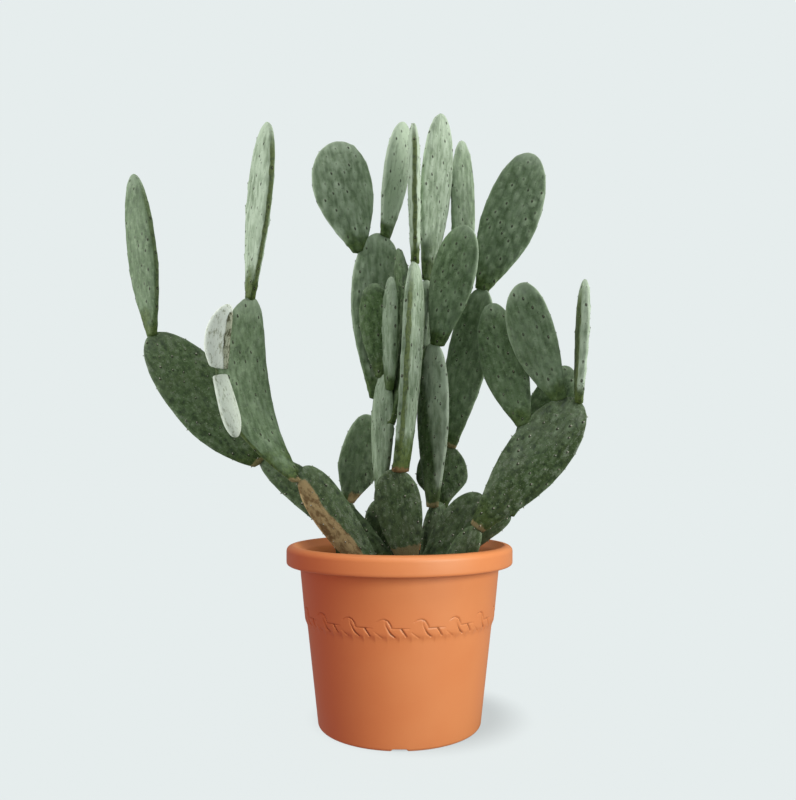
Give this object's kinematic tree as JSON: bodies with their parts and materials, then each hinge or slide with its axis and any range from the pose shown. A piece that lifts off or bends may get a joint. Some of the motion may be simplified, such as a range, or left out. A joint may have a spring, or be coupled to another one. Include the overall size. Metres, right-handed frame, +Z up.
{
  "type": "potted prickly pear cactus",
  "caption": "Branching prickly pear cactus with flat oval pads, rooted in soil in a round rimmed pot with a relief band.",
  "frame": {"origin": "middle of the pot's flat underside, at floor level", "axes": "+Z up along the pot's axis, the side shown in the picture looks along -Y, and +X is to the right of someone facing that side"},
  "size_m": [0.7739, 0.36, 1.018],
  "materials": {
    "pot": "satin, terracotta-coloured",
    "soil": "dark loose potting mix",
    "pad": "waxy grey-green skin with a dusty bloom"
  },
  "bodies": {
    "root": {"pot": "pot", "soil": "soil", "pad_back_1": "pad", "pad_back_2": "pad", "pad_front_1": "pad", "pad_front_2": "pad", "pad_front_3": "pad", "pad_left_back_1": "pad", "pad_left_back_2": "pad", "pad_left_back_3": "pad", "pad_left_front_1": "pad", "pad_left_front_2": "pad", "pad_left_front_3": "pad", "pad_left_front_4": "pad", "pad_left_front_5": "pad", "pad_middle_1": "pad", "pad_middle_2": "pad", "pad_middle_3": "pad", "pad_middle_4": "pad", "pad_middle_5": "pad", "pad_middle_6": "pad", "pad_middle_7": "pad", "pad_middle_8": "pad", "pad_right_1": "pad", "pad_right_back_1": "pad", "pad_right_back_2": "pad", "pad_right_back_3": "pad", "pad_right_back_4": "pad", "pad_right_front_1": "pad", "pad_right_front_2": "pad", "pad_right_front_3": "pad", "pad_right_front_4": "pad", "pad_right_front_5": "pad", "pad_right_low_1": "pad", "pad_right_low_2": "pad", "pad_right_middle_1": "pad", "pad_right_middle_2": "pad", "pad_right_middle_3": "pad", "pad_right_middle_4": "pad", "pad_right_middle_5": "pad"}
  },
  "joints": []
}
